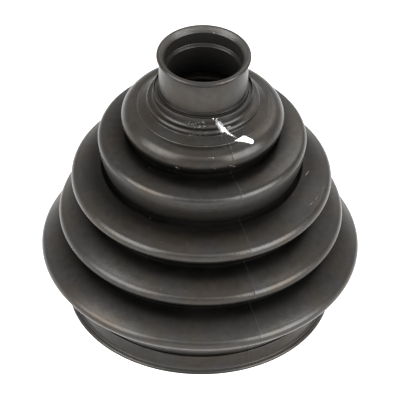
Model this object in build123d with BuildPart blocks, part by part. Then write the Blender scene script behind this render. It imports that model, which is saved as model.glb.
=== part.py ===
# Rubber bellows boot for the outer joint of a driveshaft, moulded in one piece.
# Millimetres. +Z is the boot's axis, with z = 0 on the end face of the large cuff.
import os
from math import acos, atan2, cos, hypot, sin

from build123d import *

# Large cuff, clamped round the joint's housing. The lip keeps its clamp from slipping off.
cuff_bore_radius = 49.4
cuff_wall = 3.1
cuff_mouth_chamfer = 0.8
cuff_throat_round = 1.0
cuff_lip_proud = 1.6
cuff_lip_height = 1.4
cuff_seat_width = 7.0
cuff_groove_depth = 1.1

# Sealing ribs inside the cuff, their heights given from its end face.
rib_height = 0.9
rib_land = 1.0
rib_flank = 0.7
rib_heights = [5.8, 2.5]

# Bellows, one wall that runs round a crown and a valley in turn, large end first.
# A rounding is the wall's smaller radius there: inside at a crown, outside at a valley.
# A rise is the height of a rounding's centre above the centre before it.
wall = 2.0
crown_radii = [65.2, 58.0, 53.1, 42.4, 33.0]
crown_roundings = [1.0, 1.0, 1.0, 0.8, 3.6]
crown_rises = [16.4, 7.4, 9.3, 12.3, 6.2]
valley_radii = [51.6, 45.3, 39.3, 29.8]
valley_roundings = [1.0, 1.0, 1.0, 0.8]
valley_rises = [10.2, 9.4, 8.0, 5.3]

# Dished top of the smallest convolution, which rises to the foot of the neck.
dish_reach = 3.9
dish_rounding = 1.0
dish_lift = 0.1
foot_rise = 1.1

# Collar round the foot of the neck, with a ledge outside it and a channel inside it.
ledge_height = 2.5
ledge_round = 1.2
ledge_flat = 0.2
collar_sweep = 1.3
collar_height = 7.0
collar_edge = 0.4
channel_width = 1.4
channel_depth = 1.5

# Neck, clamped round the shaft between a bead and the rim. Its bore steps in to grip the shaft.
neck_bore_radius = 15.9
neck_wall = 2.15
neck_step = 1.1
neck_step_depth = 7.4
neck_step_round = 0.4
neck_throat_round = 2.0
neck_bead_proud = 0.35
neck_bead_height = 0.7
neck_groove_width = 0.6
neck_groove_depth = 0.4
neck_seat_width = 13.6

# Rim, which flares outside and has a bevel that leads the shaft in.
rim_proud = 1.15
rim_sweep = 1.0
rim_slope_height = 1.1
rim_land = 0.2
rim_outer_round = 1.1
rim_crest_width = 0.3
rim_bevel_depth = 2.0
rim_bevel_round = 0.4

cuff_seat_radius = cuff_bore_radius + cuff_wall
cuff_lip_radius = cuff_seat_radius + cuff_lip_proud
neck_seat_radius = neck_bore_radius + neck_wall
neck_bead_radius = neck_seat_radius + neck_bead_proud
neck_throat_radius = neck_bore_radius - neck_step
channel_radius = neck_bead_radius + channel_width
collar_radius = channel_radius + collar_edge
foot_radius = collar_radius + collar_sweep + ledge_flat + ledge_round
rim_radius = neck_seat_radius + rim_proud


def bellows_turns():
    """Centre and rounding at each turn of the wall from the neck's foot down, valleys negative."""
    height = cuff_lip_height + cuff_seat_width
    turns = [(cuff_seat_radius - cuff_groove_depth, height, 0)]
    for i, crown_radius in enumerate(crown_radii):
        height += crown_rises[i]
        rounding = crown_roundings[i] + wall
        turns.append((crown_radius - rounding, height, rounding))
        if i < len(valley_radii):
            height += valley_rises[i]
            turns.append((valley_radii[i] + valley_roundings[i], height, -valley_roundings[i]))
    height += rounding + dish_rounding + dish_lift
    turns.append((foot_radius + dish_reach, height, -dish_rounding))
    turns.append((foot_radius, height + foot_rise, 0))
    return turns[::-1]


def flank_normals(turns):
    """Angle of each flank's outward normal, the flank being tangent to the turns at its ends."""
    normals = []
    for (r1, z1, rounding1), (r2, z2, rounding2) in zip(turns, turns[1:]):
        run = hypot(r2 - r1, z2 - z1)
        normals.append(atan2(z2 - z1, r2 - r1) + acos((rounding1 - rounding2) / run))
    return normals


def on_turn(turn, normal, inset):
    """Point of a turn where its normal has that angle, on the skin that lies inset from the outside."""
    r, z, rounding = turn
    return r + (rounding - inset) * cos(normal), z + (rounding - inset) * sin(normal)


def at_radius(turn, normal, inset, radius):
    """Point where the flank through a turn's point, run on, reaches a radius."""
    r, z = on_turn(turn, normal, inset)
    return radius, z + (r - radius) * cos(normal) / sin(normal)


def draw_skin(turns, normals, inset):
    """Turns of one skin as arcs, joined by the flanks between them."""
    for i in range(1, len(turns) - 1):
        start = on_turn(turns[i], normals[i - 1], inset)
        middle = on_turn(turns[i], (normals[i - 1] + normals[i]) / 2, inset)
        end = on_turn(turns[i], normals[i], inset)
        ThreePointArc(start, middle, end)
        if i < len(turns) - 2:
            Line(end, on_turn(turns[i + 1], normals[i], inset))


def draw_corners(start, corners, end):
    """Straight runs through corners given as radius, height and rounding."""
    points = [(r, z) for r, z, rounding in corners]
    FilletPolyline(start, *points, end, radius=[rounding for r, z, rounding in corners])


def neck_corners(foot_height, throat):
    """Corners of the collar, neck and rim, up the outside and down the inside to the throat."""
    ledge = foot_height + ledge_height
    collar = foot_height + collar_height
    channel = collar - channel_depth
    bead = collar + neck_bead_height
    seat = bead + neck_groove_width
    rim = seat + neck_seat_width
    top = rim + rim_slope_height + rim_land + rim_outer_round
    step = top - neck_step_depth
    return [
        (foot_radius, foot_height, 0),
        (foot_radius, ledge, ledge_round),
        (collar_radius, ledge, collar_sweep),
        (collar_radius, collar, 0),
        (channel_radius, collar, 0),
        (channel_radius, channel, 0),
        (neck_bead_radius, channel, 0),
        (neck_bead_radius, bead, 0),
        (neck_seat_radius - neck_groove_depth, bead, 0),
        (neck_seat_radius - neck_groove_depth, seat, 0),
        (neck_seat_radius, seat, 0),
        (neck_seat_radius, rim, rim_sweep),
        (rim_radius, rim + rim_slope_height, 0),
        (rim_radius, top, rim_outer_round),
        (rim_radius - rim_outer_round - rim_crest_width, top, rim_bevel_round),
        (neck_bore_radius, top - rim_bevel_depth, rim_bevel_round),
        (neck_bore_radius, step, 0),
        (neck_throat_radius, step - neck_step, neck_step_round),
        (*throat, neck_throat_round),
    ]


def rib_corners():
    """Corners of the sealing ribs in the cuff's bore, from the top down."""
    crest = cuff_bore_radius - rib_height
    corners = []
    for height in rib_heights:
        top = height + rib_land / 2
        bottom = height - rib_land / 2
        corners.append((cuff_bore_radius, top + rib_flank, 0))
        corners.append((crest, top, 0))
        corners.append((crest, bottom, 0))
        corners.append((cuff_bore_radius, bottom - rib_flank, 0))
    return corners


def cuff_corners(throat):
    """Corners of the cuff, down the inside from the throat and up the outside to the groove."""
    seat_top = cuff_lip_height + cuff_seat_width
    return [
        (*throat, cuff_throat_round),
        *rib_corners(),
        (cuff_bore_radius, cuff_mouth_chamfer, 0),
        (cuff_bore_radius + cuff_mouth_chamfer, 0, 0),
        (cuff_lip_radius, 0, 0),
        (cuff_lip_radius, cuff_lip_height, 0),
        (cuff_seat_radius, cuff_lip_height, 0),
        (cuff_seat_radius, seat_top, 0),
        (cuff_seat_radius - cuff_groove_depth, seat_top, 0),
    ]


turns = bellows_turns()
normals = flank_normals(turns)
foot, dish, last_crown = turns[0], turns[1], turns[-2]
neck_throat = at_radius(dish, normals[0], wall, neck_throat_radius)
cuff_throat = at_radius(last_crown, normals[-1], wall, cuff_bore_radius)

# The boot is one closed section turned about its axis.
with BuildPart() as boot:
    with BuildSketch(Plane.XZ):
        with BuildLine():
            draw_skin(turns, normals, 0)
            draw_skin(turns, normals, wall)
            draw_corners(
                on_turn(dish, normals[0], 0),
                neck_corners(foot[1], neck_throat),
                on_turn(dish, normals[0], wall),
            )
            draw_corners(
                on_turn(last_crown, normals[-1], wall),
                cuff_corners(cuff_throat),
                on_turn(last_crown, normals[-1], 0),
            )
        make_face()
    revolve(axis=Axis.Z)

boot.part.label = "boot"

os.makedirs("parts", exist_ok=True)
export_step(boot.part, "parts/boot.step")
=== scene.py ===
from math import acos, atan2, cos, hypot, pi, radians, sin, tan

import bpy
import numpy as np
from mathutils import Matrix, Vector


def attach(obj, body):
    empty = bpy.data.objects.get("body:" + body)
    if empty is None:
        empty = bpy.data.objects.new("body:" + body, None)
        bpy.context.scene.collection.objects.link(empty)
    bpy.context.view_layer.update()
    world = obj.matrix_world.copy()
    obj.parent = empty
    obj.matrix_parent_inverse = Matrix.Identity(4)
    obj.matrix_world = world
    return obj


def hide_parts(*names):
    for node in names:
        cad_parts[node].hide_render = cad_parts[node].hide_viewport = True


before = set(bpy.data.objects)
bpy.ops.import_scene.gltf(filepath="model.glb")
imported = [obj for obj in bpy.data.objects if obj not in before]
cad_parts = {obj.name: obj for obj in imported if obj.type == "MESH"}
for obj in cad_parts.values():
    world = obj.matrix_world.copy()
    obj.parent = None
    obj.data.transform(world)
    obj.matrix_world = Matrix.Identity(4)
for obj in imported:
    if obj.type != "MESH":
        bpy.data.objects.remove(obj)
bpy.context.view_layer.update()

mm = 0.001
tiny = 1e-6  # lengths and angles under this count as none

# Sizes in millimetres, the same as the solid's. Lists run from the large end to the small one.
boot = {
    "cuffBore": 49.4,
    "cuffWall": 3.1,
    "mouthChamfer": 0.8,
    "cuffThroatRound": 1.0,
    "lipProud": 1.6,
    "lipHeight": 1.4,
    "lipRound": 1.1,
    "cuffSeatWidth": 7.0,
    "cuffGrooveDepth": 1.1,
    "wall": 2.0,
    "crownRadii": [65.2, 58.0, 53.1, 42.4, 33.0],
    "crownRounds": [1.0, 1.0, 1.0, 0.8, 3.6],
    "crownRises": [16.4, 7.4, 9.3, 12.3, 6.2],
    "valleyRadii": [51.6, 45.3, 39.3, 29.8],
    "valleyRounds": [1.0, 1.0, 1.0, 0.8],
    "valleyRises": [10.2, 9.4, 8.0, 5.3],
    "dishReach": 3.9,
    "dishRound": 1.0,
    "dishLift": 0.1,
    "footRise": 1.1,
    "ledgeWidth": 2.7,
    "ledgeHeight": 2.5,
    "ledgeRound": 1.2,
    "collarHeight": 7.0,
    "collarEdge": 0.4,
    "collarSweep": 1.3,
    "channelWidth": 1.4,
    "channelDepth": 1.5,
    "neckBore": 15.9,
    "neckStep": 1.1,
    "neckStepDepth": 7.4,
    "neckWall": 2.15,
    "neckThroatRound": 2.0,
    "beadProud": 0.35,
    "beadHeight": 0.7,
    "neckGrooveWidth": 0.6,
    "neckGrooveDepth": 0.4,
    "neckSeatWidth": 13.6,
    "rimProud": 1.15,
    "stepRound": 0.4,
    "rimSweep": 1.0,
    "rimSlope": 1.1,
    "rimLand": 0.2,
    "rimEdgeRound": 0.1,
    "rimOuterRound": 1.1,
    "rimCrest": 0.3,
    "bevelDrop": 2.0,
    "bevelRound": 0.4,
    "ribHeight": 0.9,
    "ribLand": 1.0,
    "ribFlank": 0.7,
    "ribRound": 0.2,
    "cuffRibHeights": [2.5, 5.8],
    "flankBows": [0, 0, 0.3, 0.5, 0.5, 0, 0.5, 0, 0.5, 0],  # swell of each flank, from the dish down
    "fineRound": 0.25,  # what is left on an edge that the mould leaves crisp
    "crispRound": 0.1,  # and at the fine grooves, which are crisper
}

# How finely the surface is divided. A sag is how far a chord may lie from its arc.
mesh = {
    "columns": 160,
    "sag": 0.012,
    "innerSag": 0.06,
    "longestRun": 6.0,
    "bowSteps": 14,
    "edgeRun": 0.3,
    "seamColumns": [-0.6, -0.3, -0.15, 0.0, 0.15, 0.3, 0.6],  # beside each mould seam
    "ringReach": 0.6,  # rows lie close together within this of the parting ring
    "ringRun": 0.08,
    "closest": 0.005,  # a point nearer than this to the one before is left out
}


# The wall turns round crowns and valleys in turn. Each turn is a centre and a rounding,
# crowns positive and valleys negative, from the neck's foot down to the cuff's seat.
def bellowsTurns(b):
    height = b["lipHeight"] + b["cuffSeatWidth"]
    turns = [(b["cuffBore"] + b["cuffWall"] - b["cuffGrooveDepth"], height, 0)]
    for i, crownRadius in enumerate(b["crownRadii"]):
        height += b["crownRises"][i]
        crownRound = b["crownRounds"][i] + b["wall"]
        turns.append((crownRadius - crownRound, height, crownRound))
        if i < len(b["valleyRadii"]):
            height += b["valleyRises"][i]
            turns.append((b["valleyRadii"][i] + b["valleyRounds"][i], height, -b["valleyRounds"][i]))
    footRadius = neckRadii(b)["foot"]
    height += crownRound + b["dishRound"] + b["dishLift"]
    turns.append((footRadius + b["dishReach"], height, -b["dishRound"]))
    turns.append((footRadius, height + b["footRise"], 0))
    return turns[::-1]


# Radii of the neck, each a wall or a step away from the one before.
def neckRadii(b):
    seat = b["neckBore"] + b["neckWall"]
    bead = seat + b["beadProud"]
    channel = bead + b["channelWidth"]
    collar = channel + b["collarEdge"]
    return {
        "seat": seat,
        "bead": bead,
        "channel": channel,
        "collar": collar,
        "foot": collar + b["ledgeWidth"],
        "groove": seat - b["neckGrooveDepth"],
        "rim": seat + b["rimProud"],
        "throat": b["neckBore"] - b["neckStep"],
    }


# A flank is tangent to two turns: its normal's angle is the angle of the line between their
# centres plus the arc cosine of the difference of their roundings over their distance.
def flankNormals(turns):
    normals = []
    for (r1, z1, round1), (r2, z2, round2) in zip(turns, turns[1:]):
        run = hypot(r2 - r1, z2 - z1)
        normals.append(atan2(z2 - z1, r2 - r1) + acos((round1 - round2) / run))
    return normals


# A point of a turn: its centre, plus its rounding less the inset along the normal.
def onTurn(turn, normal, inset):
    r, z, rounding = turn
    return (r + (rounding - inset) * cos(normal), z + (rounding - inset) * sin(normal))


# Where the flank through a turn's point, run on, reaches a radius.
def atRadius(turn, normal, inset, radius):
    r, z = onTurn(turn, normal, inset)
    return (radius, z + (r - radius) * cos(normal) / sin(normal))


# An arc of that radius and swing needs this many chords: each spans twice the angle whose
# cosine is one less the sag over the radius, which is taken as a half at most.
def chordCount(radius, swing, sag):
    return max(2, int(np.ceil(abs(swing) / (2 * acos(1 - min(sag / radius, 0.5))))))


# One skin of the bellows: every turn is an arc about its centre, of radius rounding less inset.
# A flank may be bowed: its points are moved out by four times the bow times the share of the
# way along it times what is left of the way.
def skinPoints(turns, normals, inset, sag, bows):
    points = []
    for i, turn in enumerate(turns[1:-1]):
        first, last = normals[i], normals[i + 1]
        count = chordCount(abs(turn[2] - inset), last - first, sag)
        points += [onTurn(turn, normal, inset) for normal in np.linspace(first, last, count + 1)]
        bow = bows[i] if i < len(bows) else 0
        if bow:
            start = np.array(points[-1])
            end = np.array(onTurn(turns[i + 2], last, inset))
            out = np.array((cos(last), sin(last)))
            for share in np.linspace(0, 1, mesh["bowSteps"] + 1)[1:-1]:
                points.append(tuple(start + (end - start) * share + out * bow * 4 * share * (1 - share)))
    return points


# A corner is rounded by an arc tangent to both its runs: it starts at rounding times the
# tangent of half the turn from the corner, and swings through the turn about its centre.
def roundedCorners(start, corners, end):
    places = [start] + [(r, z) for r, z, rounding in corners] + [end]
    points = []
    for (r, z, rounding), before, after in zip(corners, places, places[2:]):
        corner = np.array((r, z))
        into = (corner - before) / np.linalg.norm(corner - before)
        out = (after - corner) / np.linalg.norm(after - corner)
        turn = atan2(into[0] * out[1] - into[1] * out[0], into @ out)
        if rounding == 0 or abs(turn) < tiny:
            points.append(tuple(corner))
            continue
        side = np.array((-into[1], into[0])) * np.sign(turn)
        first = corner - into * rounding * tan(abs(turn) / 2)
        centre = first + side * rounding
        for angle in np.linspace(0, abs(turn), chordCount(rounding, turn, mesh["sag"]) + 1):
            points.append(tuple(centre - side * rounding * cos(angle) + into * rounding * sin(angle)))
    return points


# Corners of the sealing ribs in a bore, from the top one down.
def ribs(b, bore, heights):
    crest = bore - b["ribHeight"]
    rounding = b["ribRound"]
    corners = []
    for height in sorted(heights, reverse=True):
        top = height + b["ribLand"] / 2
        bottom = height - b["ribLand"] / 2
        corners += [(bore, top + b["ribFlank"], rounding), (crest, top, rounding)]
        corners += [(crest, bottom, rounding), (bore, bottom - b["ribFlank"], rounding)]
    return corners


# Heights of the neck's steps, each from the one below. The bore's step is given from the top.
def neckLevels(b):
    foot = bellowsTurns(b)[0][1]
    collar = foot + b["collarHeight"]
    bead = collar + b["beadHeight"]
    seat = bead + b["neckGrooveWidth"]
    rim = seat + b["neckSeatWidth"]
    top = rim + b["rimSlope"] + b["rimLand"] + b["rimOuterRound"]
    return {
        "foot": foot,
        "ledge": foot + b["ledgeHeight"],
        "collar": collar,
        "channel": collar - b["channelDepth"],
        "bead": bead,
        "seat": seat,
        "rim": rim,
        "top": top,
        "step": top - b["neckStepDepth"],
    }


# Corners of the collar, neck and rim, up the outside and down the bore to the throat.
def neckCorners(b, throat):
    radii = neckRadii(b)
    levels = neckLevels(b)
    fine, crisp = b["fineRound"], b["crispRound"]
    return [
        (radii["foot"], levels["foot"], fine),
        (radii["foot"], levels["ledge"], b["ledgeRound"]),
        (radii["collar"], levels["ledge"], b["collarSweep"]),
        (radii["collar"], levels["collar"], fine),
        (radii["channel"], levels["collar"], crisp),
        (radii["channel"], levels["channel"], fine),
        (radii["bead"], levels["channel"], fine),
        (radii["bead"], levels["bead"], fine),
        (radii["groove"], levels["bead"], crisp),
        (radii["groove"], levels["seat"], crisp),
        (radii["seat"], levels["seat"], crisp),
        (radii["seat"], levels["rim"], b["rimSweep"]),
        (radii["rim"], levels["rim"] + b["rimSlope"], b["rimEdgeRound"]),
        (radii["rim"], levels["top"], b["rimOuterRound"]),
        (radii["rim"] - b["rimOuterRound"] - b["rimCrest"], levels["top"], b["bevelRound"]),
        (b["neckBore"], levels["top"] - b["bevelDrop"], b["bevelRound"]),
        (b["neckBore"], levels["step"], fine),
        (radii["throat"], levels["step"] - b["neckStep"], b["stepRound"]),
        (*throat, b["neckThroatRound"]),
    ]


# Corners of the cuff, down the bore from the throat and up the outside to the groove.
def cuffCorners(b, throat):
    seat = b["cuffBore"] + b["cuffWall"]
    lip = seat + b["lipProud"]
    seatTop = b["lipHeight"] + b["cuffSeatWidth"]
    chamfer = b["mouthChamfer"]
    fine = b["fineRound"]
    return [
        (*throat, b["cuffThroatRound"]),
        *ribs(b, b["cuffBore"], b["cuffRibHeights"]),
        (b["cuffBore"], chamfer, fine),
        (b["cuffBore"] + chamfer, 0, fine),
        (lip, 0, fine),
        (lip, b["lipHeight"], b["lipRound"]),
        (seat, b["lipHeight"], fine),
        (seat, seatTop, fine),
        (seat - b["cuffGrooveDepth"], seatTop, b["crispRound"]),
    ]


# Points are added to a closed outline: one at the edge run from each end of a run over three
# edge runs long, which keeps the shading of the roundings true, and more evenly between those.
def supported(outline):
    points = []
    for a, b in zip(outline, np.roll(outline, -1, 0)):
        run = np.linalg.norm(b - a)
        points.append(a)
        if run > 3 * mesh["edgeRun"]:
            inner = run - 2 * mesh["edgeRun"]
            count = int(np.ceil(inner / mesh["longestRun"]))
            places = mesh["edgeRun"] + inner * np.arange(count + 1) / count
            points += [a + (b - a) * place / run for place in places]
    return np.array(points)


# Points near a place are set close together, so that a fine ridge can be raised there.
def refined(outline, place):
    points = []
    for a, b in zip(outline, np.roll(outline, -1, 0)):
        nearest = a + (b - a) * np.clip((place - a) @ (b - a) / ((b - a) @ (b - a)), 0, 1)
        close = np.linalg.norm(nearest - place) < mesh["ringReach"]
        count = int(np.ceil(np.linalg.norm(b - a) / mesh["ringRun"])) if close else 1
        points += [a + (b - a) * step / count for step in range(count)]
    return np.array(points)


# The mould's parting ring lies in the dish between the smallest convolution and the neck.
def ringPlace(b):
    turns = bellowsTurns(b)
    normals = flankNormals(turns)
    return np.array(onTurn(turns[1], (normals[0] + normals[1]) / 2, 0))


# The closed section as radius and height, anticlockwise, with the material on its left.
def bootSection(b):
    turns = bellowsTurns(b)
    normals = flankNormals(turns)
    dish, crown = turns[1], turns[-2]
    neckThroat = atRadius(dish, normals[0], b["wall"], neckRadii(b)["throat"])
    cuffThroat = atRadius(crown, normals[-1], b["wall"], b["cuffBore"])
    outer = skinPoints(turns, normals, 0, mesh["sag"], b["flankBows"])
    inner = skinPoints(turns, normals, b["wall"], mesh["innerSag"], [])
    neck = roundedCorners(outer[0], neckCorners(b, neckThroat), inner[0])
    cuff = roundedCorners(inner[-1], cuffCorners(b, cuffThroat), outer[-1])
    outline = np.array(neck + inner + cuff + outer[::-1])
    apart = np.linalg.norm(outline - np.roll(outline, 1, 0), axis=1) > mesh["closest"]
    return refined(supported(outline[apart]), ringPlace(b))


# Columns of the surface: even angles round the axis, and beside each seam the columns that
# its ridge needs, held at fixed distances from it whatever the radius.
def columnAngles(radius, seamAzimuths):
    seams = np.sort(np.mod(np.radians(seamAzimuths), 2 * pi))
    gaps = np.diff(np.append(seams, seams[0] + 2 * pi))
    offsets = np.array(mesh["seamColumns"])
    angles = []
    for seam, gap in zip(seams, gaps):
        near = seam + offsets[None, :] / radius[:, None]
        count = int(round(mesh["columns"] * gap / (2 * pi)))
        start = seam + offsets[-1] / radius
        stop = seam + gap + offsets[0] / radius
        share = np.arange(1, count) / count
        angles += [near, start[:, None] + (stop - start)[:, None] * share]
    return np.concatenate(angles, axis=1)


# Outward normals of a closed section that runs anticlockwise: its direction turned right.
def sectionNormals(section):
    along = np.roll(section, -1, 0) - np.roll(section, 1, 0)
    along /= np.linalg.norm(along, axis=1)[:, None]
    return np.stack([along[:, 1], -along[:, 0]], axis=1)


# How much of a mould mark each row takes. The outside runs from the lip's corner up to the
# rim's crest, and the marks fade towards both ends of it and stop at the end faces: the share
# is the height over the first fade, times what is left to the top over the second.
def outsideShare(section, fades):
    height = section[:, 1]
    rows = np.arange(len(section))
    crest = int(np.argmax(height > height.max() - tiny))
    lip = len(section) - 1 - int(np.argmax(height[::-1] < tiny))
    fade = np.clip(height / fades[0], 0, 1) * np.clip((height.max() - height) / fades[1], 0, 1)
    return np.where((rows < crest) | (rows > lip), fade, 0)


# The section turned about Z: a point is radius times the cosine and sine of its column's
# angle, and its height. It is moved along the section's normal by the marks of the mould,
# each a ridge: its height times a bell curve of the distance from its middle over its width.
# A seam's height also swings along it, as a mean plus a share of two sines of its run.
def bootSurface(section, normals, marks):
    radius = section[:, 0]
    angles = columnAngles(radius / mm, marks["seamAzimuths"])
    share = outsideShare(section / mm, marks["fades"])
    run = np.cumsum(np.linalg.norm(np.diff(section, axis=0, prepend=section[:1]), axis=1)) / mm
    swing = np.full(len(run), marks["swingMean"])
    for size, length in marks["swings"]:
        swing += size * np.sin(run / length)
    lift = np.zeros_like(angles)
    for azimuth in marks["seamAzimuths"]:
        away = (np.mod(angles - radians(azimuth) + pi, 2 * pi) - pi) * radius[:, None] / mm
        ridge = np.exp(-((away / marks["seamWidth"]) ** 2))
        lift += marks["seamProud"] * ridge * (share * swing)[:, None]
    away = np.linalg.norm(section / mm - marks["ring"], axis=1)
    lift += marks["ringProud"] * np.exp(-((away / marks["ringWidth"]) ** 2))[:, None]
    radii = radius[:, None] + lift * mm * normals[:, :1]
    heights = section[:, 1:] + lift * mm * normals[:, 1:]
    return np.stack([radii * np.cos(angles), radii * np.sin(angles), heights], axis=2)


# A grid that closes on itself both ways becomes quads: each point is joined to the next
# column and the next row, counted round.
def gridMesh(name, points):
    rows, columns = points.shape[:2]
    index = np.arange(rows * columns).reshape(rows, columns)
    nextRow = np.roll(index, -1, 0)
    faces = np.stack([index, np.roll(index, -1, 1), np.roll(nextRow, -1, 1), nextRow], axis=2)
    faces = faces.reshape(-1, 4)
    data = bpy.data.meshes.new(name)
    data.vertices.add(rows * columns)
    data.vertices.foreach_set("co", points.reshape(-1).astype(np.float32))
    data.loops.add(faces.size)
    data.loops.foreach_set("vertex_index", faces.reshape(-1).astype(np.int32))
    data.polygons.add(len(faces))
    data.polygons.foreach_set("loop_start", np.arange(0, faces.size, 4, dtype=np.int32))
    data.polygons.foreach_set("use_smooth", np.ones(len(faces), bool))
    data.update(calc_edges=True)
    data.validate()
    return data


# Marks that the mould leaves, in millimetres and degrees.
marks = {
    "seamAzimuths": [-66.8, 113.2],
    "seamProud": 0.12,
    "seamWidth": 0.22,
    "swingMean": 0.6,  # mean share of the seam's height, and its swings as size and length
    "swings": [(0.25, 1.7), (0.15, 0.61)],
    "fades": (2.0, 4.0),  # heights over which the seam fades in at the lip and out at the rim
    "ring": ringPlace(boot),
    "ringProud": 0.22,
    "ringWidth": 0.2,
}

sectionInMm = bootSection(boot)
normalsOut = sectionNormals(sectionInMm)
surface = bootSurface(sectionInMm * mm, normalsOut, marks)
bootMesh = gridMesh("rubberBoot", surface)
rubberBoot = bpy.data.objects.new("rubberBoot", bootMesh)
bpy.context.scene.collection.objects.link(rubberBoot)
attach(rubberBoot, "root")
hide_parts("boot")
print("boot surface:", surface.shape, "points")


# A node with its settings, and its inputs as values or as other nodes' outputs.
def addNode(tree, kind, inputs=None, **settings):
    node = tree.nodes.new(kind)
    for name, value in settings.items():
        setattr(node, name, value)
    for socket, value in (inputs or {}).items():
        if isinstance(value, bpy.types.NodeSocket):
            tree.links.new(value, node.inputs[socket])
        else:
            node.inputs[socket].default_value = value
    return node


# The result of a sum on one or two values, each a number or another node's output.
def calc(tree, operation, first, second=0.0):
    return addNode(tree, "ShaderNodeMath", {0: first, 1: second}, operation=operation).outputs[0]


# The same on vectors. Some operations give a value in place of a vector.
def vectorCalc(tree, operation, first, second=(0, 0, 0)):
    node = addNode(tree, "ShaderNodeVectorMath", {0: first, 1: second}, operation=operation)
    return node.outputs["Value" if operation in ("DOT_PRODUCT", "LENGTH", "DISTANCE") else "Vector"]


# A value mapped from one range to 0..1, with an eased start and end.
def ease(tree, value, low, high):
    given = {"Value": value, "From Min": low, "From Max": high}
    return addNode(tree, "ShaderNodeMapRange", given, interpolation_type="SMOOTHSTEP").outputs["Result"]


# One at low, with an eased fall to zero at high.
def fall(tree, value, low, high):
    return calc(tree, "SUBTRACT", 1.0, ease(tree, value, low, high))


# How far a noise is from its mean of a half, times a size.
def swingOf(tree, noiseValue, size):
    return calc(tree, "MULTIPLY", calc(tree, "SUBTRACT", noiseValue, 0.5), size)


# The first colour at a share of zero and the second at one.
def mixColours(tree, share, first, second):
    node = addNode(tree, "ShaderNodeMix", {"Factor": share, 6: first, 7: second}, data_type="RGBA")
    return node.outputs[2]


# The same on values.
def mixValues(tree, share, first, second):
    node = addNode(tree, "ShaderNodeMix", {"Factor": share, 2: first, 3: second}, data_type="FLOAT")
    return node.outputs[0]


# Noise in space, a half on average. Detail is how many finer layers are added to it.
def noise(tree, place, scale, detail):
    node = addNode(tree, "ShaderNodeTexNoise", {"Vector": place, "Scale": scale, "Detail": detail})
    return node.outputs["Fac"]


# A node group with named sockets, given as {name: default} in and a list of names out.
def newGroup(name, inputs, outputs):
    tree = bpy.data.node_groups.new(name, "ShaderNodeTree")
    for label, default in inputs.items():
        kind = "NodeSocketVector" if isinstance(default, tuple) else "NodeSocketFloat"
        tree.interface.new_socket(name=label, in_out="INPUT", socket_type=kind).default_value = default
    for label in outputs:
        tree.interface.new_socket(name=label, in_out="OUTPUT", socket_type="NodeSocketFloat")
    return tree, tree.nodes.new("NodeGroupInput").outputs, tree.nodes.new("NodeGroupOutput").inputs


# The outputs of a group placed with its inputs as values or as other nodes' outputs.
def useGroup(tree, group, inputs=None):
    node = tree.nodes.new("ShaderNodeGroup")
    node.node_tree = group
    for label, value in (inputs or {}).items():
        if isinstance(value, bpy.types.NodeSocket):
            tree.links.new(value, node.inputs[label])
        else:
            node.inputs[label].default_value = value
    return node.outputs


# The place on the object, in millimetres.
def placeInMm(tree):
    place = addNode(tree, "ShaderNodeTexCoord").outputs["Object"]
    return vectorCalc(tree, "MULTIPLY", place, (1 / mm,) * 3)


# A place's arm from the axis, and how long it is.
def fromAxis(tree, place):
    arm = vectorCalc(tree, "MULTIPLY", place, (1, 1, 0))
    return arm, vectorCalc(tree, "LENGTH", arm)


# How high a place is.
def heightOf(tree, place):
    return addNode(tree, "ShaderNodeSeparateXYZ", {"Vector": place}).outputs["Z"]


# A mark like a brush stroke. Its distance is that from the line between its two ends, less the
# half width there, plus noise that makes the edge ragged. The mask falls from one to zero
# across the soft edge.
def strokeGroup():
    ends = {"Start": (0.0,) * 3, "End": (1.0,) * 3}
    widths = {"Start Width": 1.0, "End Width": 1.0, "Soft": 0.2, "Ragged": 0.5, "Noise": 0.5}
    tree, given, out = newGroup("brushStroke", {**ends, **widths}, ["Mask"])
    place = placeInMm(tree)
    along = vectorCalc(tree, "SUBTRACT", given["End"], given["Start"])
    away = vectorCalc(tree, "SUBTRACT", place, given["Start"])
    reach = vectorCalc(tree, "DOT_PRODUCT", away, along)
    share = calc(tree, "DIVIDE", reach, vectorCalc(tree, "DOT_PRODUCT", along, along))
    share = addNode(tree, "ShaderNodeClamp", {"Value": share}).outputs[0]
    nearest = vectorCalc(tree, "ADD", given["Start"], vectorCalc(tree, "MULTIPLY", along, share))
    halfWidth = mixValues(tree, share, given["Start Width"], given["End Width"])
    distance = calc(tree, "SUBTRACT", vectorCalc(tree, "DISTANCE", place, nearest), halfWidth)
    distance = calc(tree, "ADD", distance, swingOf(tree, given["Noise"], given["Ragged"]))
    distance = calc(tree, "DIVIDE", distance, given["Soft"])
    tree.links.new(fall(tree, distance, -1.0, 0.0), out["Mask"])
    return tree


# Grain of the moulded rubber: fine noise, slow mottling, and streaks that run round the boot.
# A streak is noise of the radius plus the height times the climb, and of the direction from the
# axis times the turn, so it changes fast along the section and slowly round the boot.
def grainGroup():
    defaults = {"Grain Scale": 1.7, "Mottle Scale": 0.35, "Streak Scale": 0.9, "Turn": 4.0, "Climb": 1.7}
    tree, given, out = newGroup("rubberGrain", defaults, ["Grain", "Mottle", "Streaks"])
    place = placeInMm(tree)
    tree.links.new(noise(tree, place, given["Grain Scale"], detail=3.0), out["Grain"])
    tree.links.new(noise(tree, place, given["Mottle Scale"], detail=5.0), out["Mottle"])
    arm, radius = fromAxis(tree, place)
    facing = vectorCalc(tree, "MULTIPLY", vectorCalc(tree, "NORMALIZE", arm), given["Turn"])
    climbed = calc(tree, "MULTIPLY", heightOf(tree, place), given["Climb"])
    depth = addNode(tree, "ShaderNodeCombineXYZ", {"Z": calc(tree, "ADD", radius, climbed)}).outputs[0]
    turned = vectorCalc(tree, "ADD", facing, depth)
    tree.links.new(noise(tree, turned, given["Streak Scale"], detail=3.0), out["Streaks"])
    return tree


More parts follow.
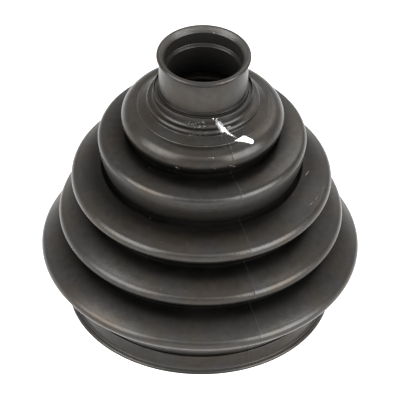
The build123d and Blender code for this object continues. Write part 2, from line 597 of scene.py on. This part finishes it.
# How near a place is to a ring round the axis: the distance from it in radius and height,
# eased from one at the ring to zero at the reach.
def ringGroup():
    tree, given, out = newGroup("nearRing", {"Radius": 1.0, "Height": 0.0, "Reach": 1.0}, ["Mask"])
    place = placeInMm(tree)
    inSection = {"X": fromAxis(tree, place)[1], "Y": heightOf(tree, place)}
    inSection = addNode(tree, "ShaderNodeCombineXYZ", inSection).outputs[0]
    ring = addNode(tree, "ShaderNodeCombineXYZ", {"X": given["Radius"], "Y": given["Height"]}).outputs[0]
    distance = vectorCalc(tree, "DISTANCE", inSection, ring)
    tree.links.new(fall(tree, distance, 0.0, given["Reach"]), out["Mask"])
    return tree


# The mould's seam lies in one plane through the axis: the mask falls from one to zero with the
# distance from it plus noise. The bore has none.
def seamGroup():
    defaults = {"Across": (1.0, 0.0, 0.0), "Width": 0.2, "Ragged": 0.5, "Noise": 0.5, "Bore": 17.8}
    tree, given, out = newGroup("mouldSeam", defaults, ["Mask"])
    place = placeInMm(tree)
    distance = calc(tree, "ABSOLUTE", vectorCalc(tree, "DOT_PRODUCT", place, given["Across"]))
    distance = calc(tree, "ADD", distance, swingOf(tree, given["Noise"], given["Ragged"]))
    outside = calc(tree, "GREATER_THAN", fromAxis(tree, place)[1], given["Bore"])
    line = fall(tree, distance, 0.0, given["Width"])
    tree.links.new(calc(tree, "MULTIPLY", line, outside), out["Mask"])
    return tree


# Dust: blotches are slow noise, eased from low to high, and specks are dots in the few cells of
# a pattern whose random value is under the share. A dot's radius is another random value times
# the size.
def dustGroup():
    blotches = {"Blotch Scale": 0.06, "Blotch Low": 0.42, "Blotch High": 0.66}
    specks = {"Speck Scale": 0.28, "Speck Share": 0.25, "Speck Size": 0.06}
    tree, given, out = newGroup("dust", {**blotches, **specks}, ["Blotches", "Specks"])
    place = placeInMm(tree)
    slow = noise(tree, place, given["Blotch Scale"], detail=5.0)
    tree.links.new(ease(tree, slow, given["Blotch Low"], given["Blotch High"]), out["Blotches"])
    cells = addNode(tree, "ShaderNodeTexVoronoi", {"Vector": place, "Scale": given["Speck Scale"]}).outputs
    chance = addNode(tree, "ShaderNodeSeparateColor", {"Color": cells["Color"]}).outputs
    size = calc(tree, "MULTIPLY", chance["Green"], given["Speck Size"])
    dot = calc(tree, "LESS_THAN", cells["Distance"], size)
    chosen = calc(tree, "LESS_THAN", chance["Red"], given["Speck Share"])
    tree.links.new(calc(tree, "MULTIPLY", dot, chosen), out["Specks"])
    return tree


# The rubber's finish. A share is that of dust in the colour, and a gloss scales the reflection.
rubber = {
    "colour": (0.0015, 0.0014, 0.0013, 1),
    "paleColour": (0.0031, 0.0028, 0.0026, 1),
    "streakEdges": (0.35, 0.7),  # of the streaks, from plain to pale
    # pale colour of dust, and of the painted light in some of the pale rings
    "dustAndLightColour": (0.30, 0.285, 0.265, 1),
    "glossTint": (1.0, 0.955, 0.90, 1),
    "warmTint": (1.0, 0.85, 0.70, 1),
    "roughness": 0.30,
    "roughnessSwing": 0.10,
    "gloss": 0.5,
    "mottleSwing": 0.35,
    "glossLevel": 0.083,  # strength of the reflection, seen straight on, at a gloss of one
    # gloss left in the shaded hollows, which gives their painted shade
    "shadedHollowGloss": 0.0,
    "crestGloss": 0.85,
    "grainDepth": 0.055,
    "streakDepth": 0.03,
    "dustShare": 0.003,
    "speckShare": 0.18,
    "flecks": {"Speck Scale": 0.75, "Speck Share": 0.3, "Speck Size": 0.22},
    "boreDust": 0.042,
    "boreEdges": (17.2, 15.6),  # radii between which the bore's dust sets in
    "boreStart": 4.0,  # how far below the neck's foot it does
    "seamShare": 0.035,
    "seamWidth": 0.2,
    "seamRagged": 0.9,
}

levels = neckLevels(boot)
valleys = bellowsTurns(boot)[3:-2:2]
crests = bellowsTurns(boot)[4:-1:2]

# Rings round the axis: radius, height, reach and strength. Valleys and crests run from the neck
# down. The shaded hollows are painted shade: they lose their gloss, wholly so over the middle where
# the strength is above one, so that the valleys, the bore's step and throat and the part above the
# cuff's seat come out dark as in shade. Rubbed crests are bright. A flecked ring holds fine specks,
# a worn one a faint seam, and a pale ring takes the pale colour, as listed below.
shadedHollows = [
    *[(*valley[:2], reach, 1.0) for valley, reach in zip(valleys[2:], [11.0, 12.0])],
    *[(*valley[:2], 3.5, 1.5) for valley in valleys[:2]],
    (*valleys[0][:2], 10.5, 0.85),
    (valleys[1][0] + 2.2, valleys[1][1] - 1.3, 9.5, 0.75),
    (valleys[0][0] - 0.4, valleys[0][1] + 2.7, 4.0, 1.0),
    (boot["neckBore"] - 0.5, levels["step"] - 0.5, 1.3, 0.8),
    (neckRadii(boot)["throat"], levels["foot"] + 2.4, 4.0, 1.0),
    (boot["cuffBore"] + boot["cuffWall"], boot["lipHeight"] + 3.5, 9.0, 0.25),
]
wornSeams = [(*crests[0][:2], 13.0, 0.022)]
fleckedRings = [(r, z, rounding + 4.0, 0.16) for r, z, rounding in bellowsTurns(boot)[2:-1:2]]
rubbedRings = [(*crest[:2], reach, 1.0) for crest, reach in zip(crests, [4.0, 5.0, 5.0, 5.0])]
# Pale rings, in order: the neck's channel, painted light that lifts the shade of the groove; the neck's
# groove; the rim's bevel; the parting line; the top of the smallest convolution; the lower wall of the
# second, painted light that lifts its shade; the neck's seat; and the corner where the seat meets the lip,
# painted light that lifts the shade there.
dustAndLightRings = [
    (neckRadii(boot)["bead"] + 0.7, levels["channel"] + 0.6, 1.3, 0.30),
    (neckRadii(boot)["groove"], levels["seat"] - 0.3, 0.5, 0.10),
    (boot["neckBore"] + 1.3, levels["top"] - 0.6, 2.1, 0.12),
    (*ringPlace(boot), 0.4, 0.10),
    (28.6, levels["foot"] - 2.1, 5.0, 0.030),
    (valleys[1][0] - 0.3, valleys[1][1] + 6.0, 7.5, 0.026),
    (neckRadii(boot)["seat"], levels["seat"] + 7.0, 10.0, 0.04),
    (boot["cuffBore"] + boot["cuffWall"] + 0.4, boot["lipHeight"] + 0.2, 1.6, 0.12),
]

# White paint daubed on by hand in one pass, and its thin grey edges. A blot is the place of
# its two ends, the half width at each and its raggedness, all in millimetres.
paint = {
    "colour": (0.87, 0.86, 0.86, 1),
    "roughness": 0.45,
    "soft": 0.15,
    "blots": [
        ((4.0, -19.7, 107.5), (5.9, -19.3, 106.9), -0.2, -0.1, 4.0),
        ((5.4, -19.5, 106.8), (6.6, -19.1, 104.8), -0.5, 0.3, 3.0),
        ((6.7, -19.2, 104.2), (8.4, -20.4, 102.8), 0.2, 1.0, 2.4),
        ((8.4, -20.4, 102.8), (9.7, -20.8, 101.9), 1.0, 0.4, 1.4),
        ((9.7, -20.8, 101.9), (10.6, -20.4, 100.7), 0.4, 0.3, 1.2),
        ((10.6, -20.4, 100.7), (12.6, -21.0, 99.7), 0.3, 0.05, 1.2),
        ((13.2, -22.6, 98.8), (17.2, -21.2, 98.5), 0.15, 1.7, 0.3),
        ((17.2, -21.2, 98.5), (19.6, -21.9, 98.1), 1.7, 1.25, 0.3),
    ],
}

# Thin grey smears under the paint and rows of small dabs beside it, given as its blots are.
smears = {
    "colour": (0.17, 0.17, 0.168, 1),
    "soft": 0.3,
    "blots": [
        ((9.7, -20.8, 101.9), (10.6, -20.4, 100.7), 0.9, 0.7, 1.4),
        ((10.6, -20.4, 100.7), (13.4, -21.3, 99.4), 0.7, 0.35, 1.4),
        ((10.3, -19.4, 103.2), (11.1, -19.0, 103.1), 0.6, 0.5, 1.4),
        ((5.2, -19.5, 106.9), (6.4, -19.2, 105.0), 0.4, 1.1, 2.4),
        ((6.4, -19.2, 105.0), (8.2, -20.4, 102.8), 1.2, 1.5, 2.0),
        ((-5.8, -19.3, 104.8), (0.6, -20.2, 105.9), -0.6, -0.6, 10.0),
        ((-3.7, -20.6, 103.3), (1.5, -20.6, 103.5), -0.6, -0.6, 10.0),
        ((-6.5, -22.0, 100.7), (1.9, -22.7, 102.6), -0.7, -0.7, 10.0),
    ],
}

# Scratches, scuffs and chips in the rubber, given in the same way.
scuffs = {
    "colour": (0.13, 0.125, 0.115, 1),
    "soft": 0.25,
    "blots": [
        ((7.9, -21.5, 101.5), (7.9, -21.5, 100.7), 0.15, 0.15, 0.5),
        ((7.9, -21.5, 100.7), (8.0, -23.7, 99.4), 0.15, 0.1, 0.5),
        ((43.7, -3.3, 67.2), (42.5, -6.1, 67.4), 0.25, 0.35, 0.2),
        ((45.5, -19.8, 64.8), (44.2, -21.8, 64.9), 0.15, 0.2, 0.6),
        ((47.5, -15.7, 64.5), (46.7, -17.7, 64.6), 0.15, 0.2, 0.6),
        ((50.0, -8.9, 64.1), (49.1, -11.6, 64.3), 0.15, 0.15, 0.6),
        ((44.7, -29.2, 47.1), (53.8, -21.2, 43.6), 0.1, 0.1, 1.6),
        ((2.9, -31.2, 96.9), (4.9, -31.1, 96.7), 0.15, 0.3, 1.0),
        ((4.0, -32.7, 93.3), (5.4, -32.5, 92.3), 0.15, 0.25, 1.0),
        ((10.6, -31.2, 93.2), (13.4, -29.9, 91.5), 0.2, 0.25, 1.2),
        ((-10.2, -31.2, 91.6), (-9.0, -31.2, 90.6), 0.3, 0.2, 0.5),
        ((1.5, -26.4, 98.7), (1.9, -26.5, 98.6), 0.3, 0.3, 0.5),
        ((-20.4, -35.4, 67.9), (-20.2, -35.3, 67.9), 0.2, 0.2, 0.2),
        ((-32.7, -47.9, 31.2), (-32.5, -47.9, 31.1), 0.1, 0.1, 0.3),
        ((-29.8, -50.9, 30.7), (-29.3, -51.2, 30.6), 0.1, 0.1, 0.5),
        ((-25.7, -54.3, 30.0), (-25.4, -54.4, 30.0), 0.15, 0.1, 0.3),
        ((3.9, 15.6, 123.2), (4.1, 15.6, 123.2), 0.35, 0.3, 0.3),
    ],
}


# All marks of a kind as one mask: the largest of their masks.
def blotMask(tree, group, ragged, kind):
    mask = 0.0
    for start, end, startWidth, endWidth, raggedness in kind["blots"]:
        stroke = {"Start": start, "End": end, "Start Width": startWidth, "End Width": endWidth}
        stroke |= {"Soft": kind["soft"], "Ragged": raggedness, "Noise": ragged}
        mask = calc(tree, "MAXIMUM", mask, useGroup(tree, group, stroke)["Mask"])
    return mask


# All rings of a kind as one mask: the largest of their masks, each times its strength.
def ringMask(tree, group, rings):
    mask = 0.0
    for radius, height, reach, strength in rings:
        ring = useGroup(tree, group, {"Radius": radius, "Height": height, "Reach": reach})
        mask = calc(tree, "MAXIMUM", mask, calc(tree, "MULTIPLY", ring["Mask"], strength))
    return mask


# The share of the pale colour in the rubber's colour: the largest of its layers, which are thin
# blotches of dust, specks, flecks on the crests, a film in the bore, the line of the seam and the
# pale rings, some of which are painted light.
def dustAndLightMask(tree, values, grain, ring):
    dusting = dustGroup()
    dust = useGroup(tree, dusting)
    flecks = useGroup(tree, dusting, values["flecks"])["Specks"]
    place = placeInMm(tree)
    inBore = ease(tree, fromAxis(tree, place)[1], *values["boreEdges"])
    upBore = ease(tree, heightOf(tree, place), levels["foot"] - values["boreStart"], levels["rim"])
    azimuth = radians(marks["seamAzimuths"][0])
    seam = {"Across": (-sin(azimuth), cos(azimuth), 0), "Width": values["seamWidth"]}
    seam |= {"Ragged": values["seamRagged"], "Noise": grain["Grain"]}
    seamed = useGroup(tree, seamGroup(), seam)["Mask"]
    seamLeft = calc(tree, "SUBTRACT", values["seamShare"], ringMask(tree, ring, wornSeams))
    layers = [
        calc(tree, "MULTIPLY", dust["Specks"], values["speckShare"]),
        calc(tree, "MULTIPLY", flecks, ringMask(tree, ring, fleckedRings)),
        calc(tree, "MULTIPLY", calc(tree, "MULTIPLY", inBore, upBore), values["boreDust"]),
        calc(tree, "MULTIPLY", seamed, seamLeft),
        ringMask(tree, ring, dustAndLightRings),
    ]
    dustAndLight = calc(tree, "MULTIPLY", dust["Blotches"], values["dustShare"])
    for layer in layers:
        dustAndLight = calc(tree, "MAXIMUM", dustAndLight, layer)
    return dustAndLight, dust["Blotches"]


# Black rubber under dust, scuffs, smears and paint, with painted light in some pale rings and
# painted shade where the hollows lose their gloss. Its gloss and roughness swing with the grain,
# which also raises it as bump.
def rubberMaterial(values):
    material = bpy.data.materials.new("mouldedRubber")
    material.use_nodes = True
    tree = material.node_tree
    shader = tree.nodes["Principled BSDF"]
    grain = useGroup(tree, grainGroup())
    stroke, ring = strokeGroup(), ringGroup()
    painted = blotMask(tree, stroke, grain["Grain"], paint)
    smeared = blotMask(tree, stroke, grain["Grain"], smears)
    scuffed = blotMask(tree, stroke, grain["Grain"], scuffs)
    dustAndLight, blotches = dustAndLightMask(tree, values, grain, ring)

    streaked = ease(tree, grain["Streaks"], *values["streakEdges"])
    colour = mixColours(tree, streaked, values["colour"], values["paleColour"])
    # Dust, and the painted light of the pale rings, mix in the pale colour.
    colour = mixColours(tree, dustAndLight, colour, values["dustAndLightColour"])
    colour = mixColours(tree, scuffed, colour, scuffs["colour"])
    colour = mixColours(tree, smeared, colour, smears["colour"])
    colour = mixColours(tree, painted, colour, paint["colour"])

    roughnessSwing = swingOf(tree, grain["Streaks"], values["roughnessSwing"])
    roughness = calc(tree, "ADD", values["roughness"], roughnessSwing)
    roughness = mixValues(tree, painted, roughness, paint["roughness"])

    gloss = calc(tree, "ADD", values["gloss"], swingOf(tree, grain["Mottle"], values["mottleSwing"]))
    gloss = mixValues(tree, ringMask(tree, ring, rubbedRings), gloss, values["crestGloss"])
    # The shaded hollows lose their gloss: painted shade in the valleys, in the bore and above the cuff's
    # seat.
    gloss = mixValues(tree, ringMask(tree, ring, shadedHollows), gloss, values["shadedHollowGloss"])
    gloss = mixValues(tree, painted, gloss, values["gloss"])

    relief = calc(tree, "MULTIPLY", grain["Grain"], values["grainDepth"])
    relief = calc(tree, "ADD", relief, calc(tree, "MULTIPLY", grain["Streaks"], values["streakDepth"]))
    bump = addNode(tree, "ShaderNodeBump", {"Height": relief, "Distance": mm, "Strength": 1.0})

    # Rubber this dark shows its reflection and hardly any colour of its own. A metal's base colour
    # is the strength of its reflection, so the base colour is the reflection plus the plain colour,
    # and metallic is the reflection's share of that sum. Dust and paint come out matt.
    reflection = calc(tree, "MULTIPLY", gloss, values["glossLevel"])
    tint = mixColours(tree, blotches, values["glossTint"], values["warmTint"])
    tinted = vectorCalc(tree, "MULTIPLY", tint, reflection)
    plain = vectorCalc(tree, "DOT_PRODUCT", colour, (1 / 3,) * 3)
    share = calc(tree, "DIVIDE", reflection, calc(tree, "ADD", reflection, plain))
    shader.inputs["Specular IOR Level"].default_value = 0.0
    tree.links.new(vectorCalc(tree, "ADD", tinted, colour), shader.inputs["Base Color"])
    tree.links.new(share, shader.inputs["Metallic"])
    tree.links.new(roughness, shader.inputs["Roughness"])
    tree.links.new(bump.outputs["Normal"], shader.inputs["Normal"])
    return material


bootMesh.materials.append(rubberMaterial(rubber))
print("rubber material done")

# The studio: a white floor that glows, but not inside the boot, and white panels round it. A
# panel is placed by azimuth and elevation, its width and height are angles, and a level is a
# radiance. A warmth below zero makes it a little cool, as the two large panels at the sides are.
studio = {
    "floorSize": 8.0,
    "floorLevel": 2.0,
    "floorDark": 0.0525,  # radius of the part that the boot covers
    "backdropLevel": 1.0,
    "skyLevel": 1.3,
    "panelDistance": 1.6,
    "panelAim": (0, 0, 0.05),
    "panels": [
        {"azimuth": 210, "elevation": 28, "width": 44, "height": 44, "level": 5.5, "warmth": -0.03},
        {"azimuth": -33, "elevation": 23, "width": 44, "height": 44, "level": 6.6, "warmth": -0.05},
        {"azimuth": -90, "elevation": 46, "width": 40, "height": 12, "level": 1.8, "warmth": 0.0},
        {"azimuth": 57, "elevation": 45, "width": 30, "height": 26, "level": 2.7, "warmth": 0.0},
    ],
}


# A point at that azimuth from +X, elevation and distance.
def around(azimuth, elevation, distance):
    a, e = radians(azimuth), radians(elevation)
    return Vector((cos(e) * cos(a), cos(e) * sin(a), sin(e))) * distance


# The placing of a lamp or camera that looks from a place at a target, rolled about that line.
def lookAt(place, target, roll=0.0):
    turn = (Vector(target) - Vector(place)).to_track_quat("-Z", "Y").to_matrix()
    return Matrix.Translation(place) @ (turn @ Matrix.Rotation(roll, 3, "Z")).to_4x4()


# The floor is a flat square that reflects nothing and glows, apart from a round patch.
def buildFloor(values):
    half = values["floorSize"] / 2
    data = bpy.data.meshes.new("studioFloor")
    corners = [(-half, -half, 0), (half, -half, 0), (half, half, 0), (-half, half, 0)]
    data.from_pydata(corners, [], [(0, 1, 2, 3)])
    floor = bpy.data.objects.new("studioFloor", data)
    bpy.context.scene.collection.objects.link(floor)
    material = bpy.data.materials.new("paleFloor")
    material.use_nodes = True
    tree = material.node_tree
    shader = tree.nodes["Principled BSDF"]
    shader.inputs["Base Color"].default_value = (0, 0, 0, 1)
    shader.inputs["Specular IOR Level"].default_value = 0.0
    shader.inputs["Emission Color"].default_value = (1, 1, 1, 1)
    radius = vectorCalc(tree, "LENGTH", addNode(tree, "ShaderNodeTexCoord").outputs["Object"])
    lit = calc(tree, "GREATER_THAN", radius, values["floorDark"])
    tree.links.new(calc(tree, "MULTIPLY", lit, values["floorLevel"]), shader.inputs["Emission Strength"])
    data.materials.append(material)


# The sky lights the boot evenly, and the camera sees a white backdrop in its place.
def buildSky(values):
    world = bpy.data.worlds.new("studioSky")
    bpy.context.scene.world = world
    world.use_nodes = True
    tree = world.node_tree
    tree.nodes.clear()
    sky = addNode(tree, "ShaderNodeBackground", {"Strength": values["skyLevel"]})
    white = {"Color": (1, 1, 1, 1), "Strength": values["backdropLevel"]}
    backdrop = addNode(tree, "ShaderNodeBackground", white)
    seen = addNode(tree, "ShaderNodeLightPath").outputs["Is Camera Ray"]
    mix = addNode(tree, "ShaderNodeMixShader", {0: seen, 1: sky.outputs[0], 2: backdrop.outputs[0]})
    addNode(tree, "ShaderNodeOutputWorld", {"Surface": mix.outputs[0]})


# A panel's side is twice its distance times the tangent of half its angle. The power that
# gives a radiance is that radiance times pi times the panel's area.
def buildPanels(values):
    for i, panel in enumerate(values["panels"]):
        distance = values["panelDistance"]
        lamp = bpy.data.lights.new(f"panel{i}", "AREA")
        lamp.shape = "RECTANGLE"
        lamp.size = 2 * distance * tan(radians(panel["width"]) / 2)
        lamp.size_y = 2 * distance * tan(radians(panel["height"]) / 2)
        lamp.energy = panel["level"] * pi * lamp.size * lamp.size_y
        lamp.color = (1, 1 - panel["warmth"], 1 - 2 * panel["warmth"])
        holder = bpy.data.objects.new(f"panel{i}", lamp)
        place = around(panel["azimuth"], panel["elevation"], distance)
        holder.matrix_world = lookAt(place, values["panelAim"])
        bpy.context.scene.collection.objects.link(holder)


# The camera stands that far from the boot's middle, and aims at a point by its axis.
view = {
    "middle": (0, 0, 0.055),
    "azimuth": -90,
    "elevation": 40.59,
    "distance": 2.3786,
    "aim": (-0.00036, 0, 0.04756),
    "roll": 1.158,
    "fieldOfView": 3.939,
    "farthest": 20,
}


# A long lens, so that the boot is seen almost without perspective.
def buildCamera(values):
    lens = bpy.data.cameras.new("camera")
    lens.sensor_fit = "HORIZONTAL"
    lens.angle = radians(values["fieldOfView"])
    lens.clip_end = values["farthest"]
    camera = bpy.data.objects.new("camera", lens)
    place = Vector(values["middle"]) + around(values["azimuth"], values["elevation"], values["distance"])
    camera.matrix_world = lookAt(place, values["aim"], radians(values["roll"]))
    bpy.context.scene.collection.objects.link(camera)
    bpy.context.scene.camera = camera


buildFloor(studio)
buildSky(studio)
buildPanels(studio)
buildCamera(view)
bpy.context.scene.view_settings.view_transform = "Standard"
print("studio done")
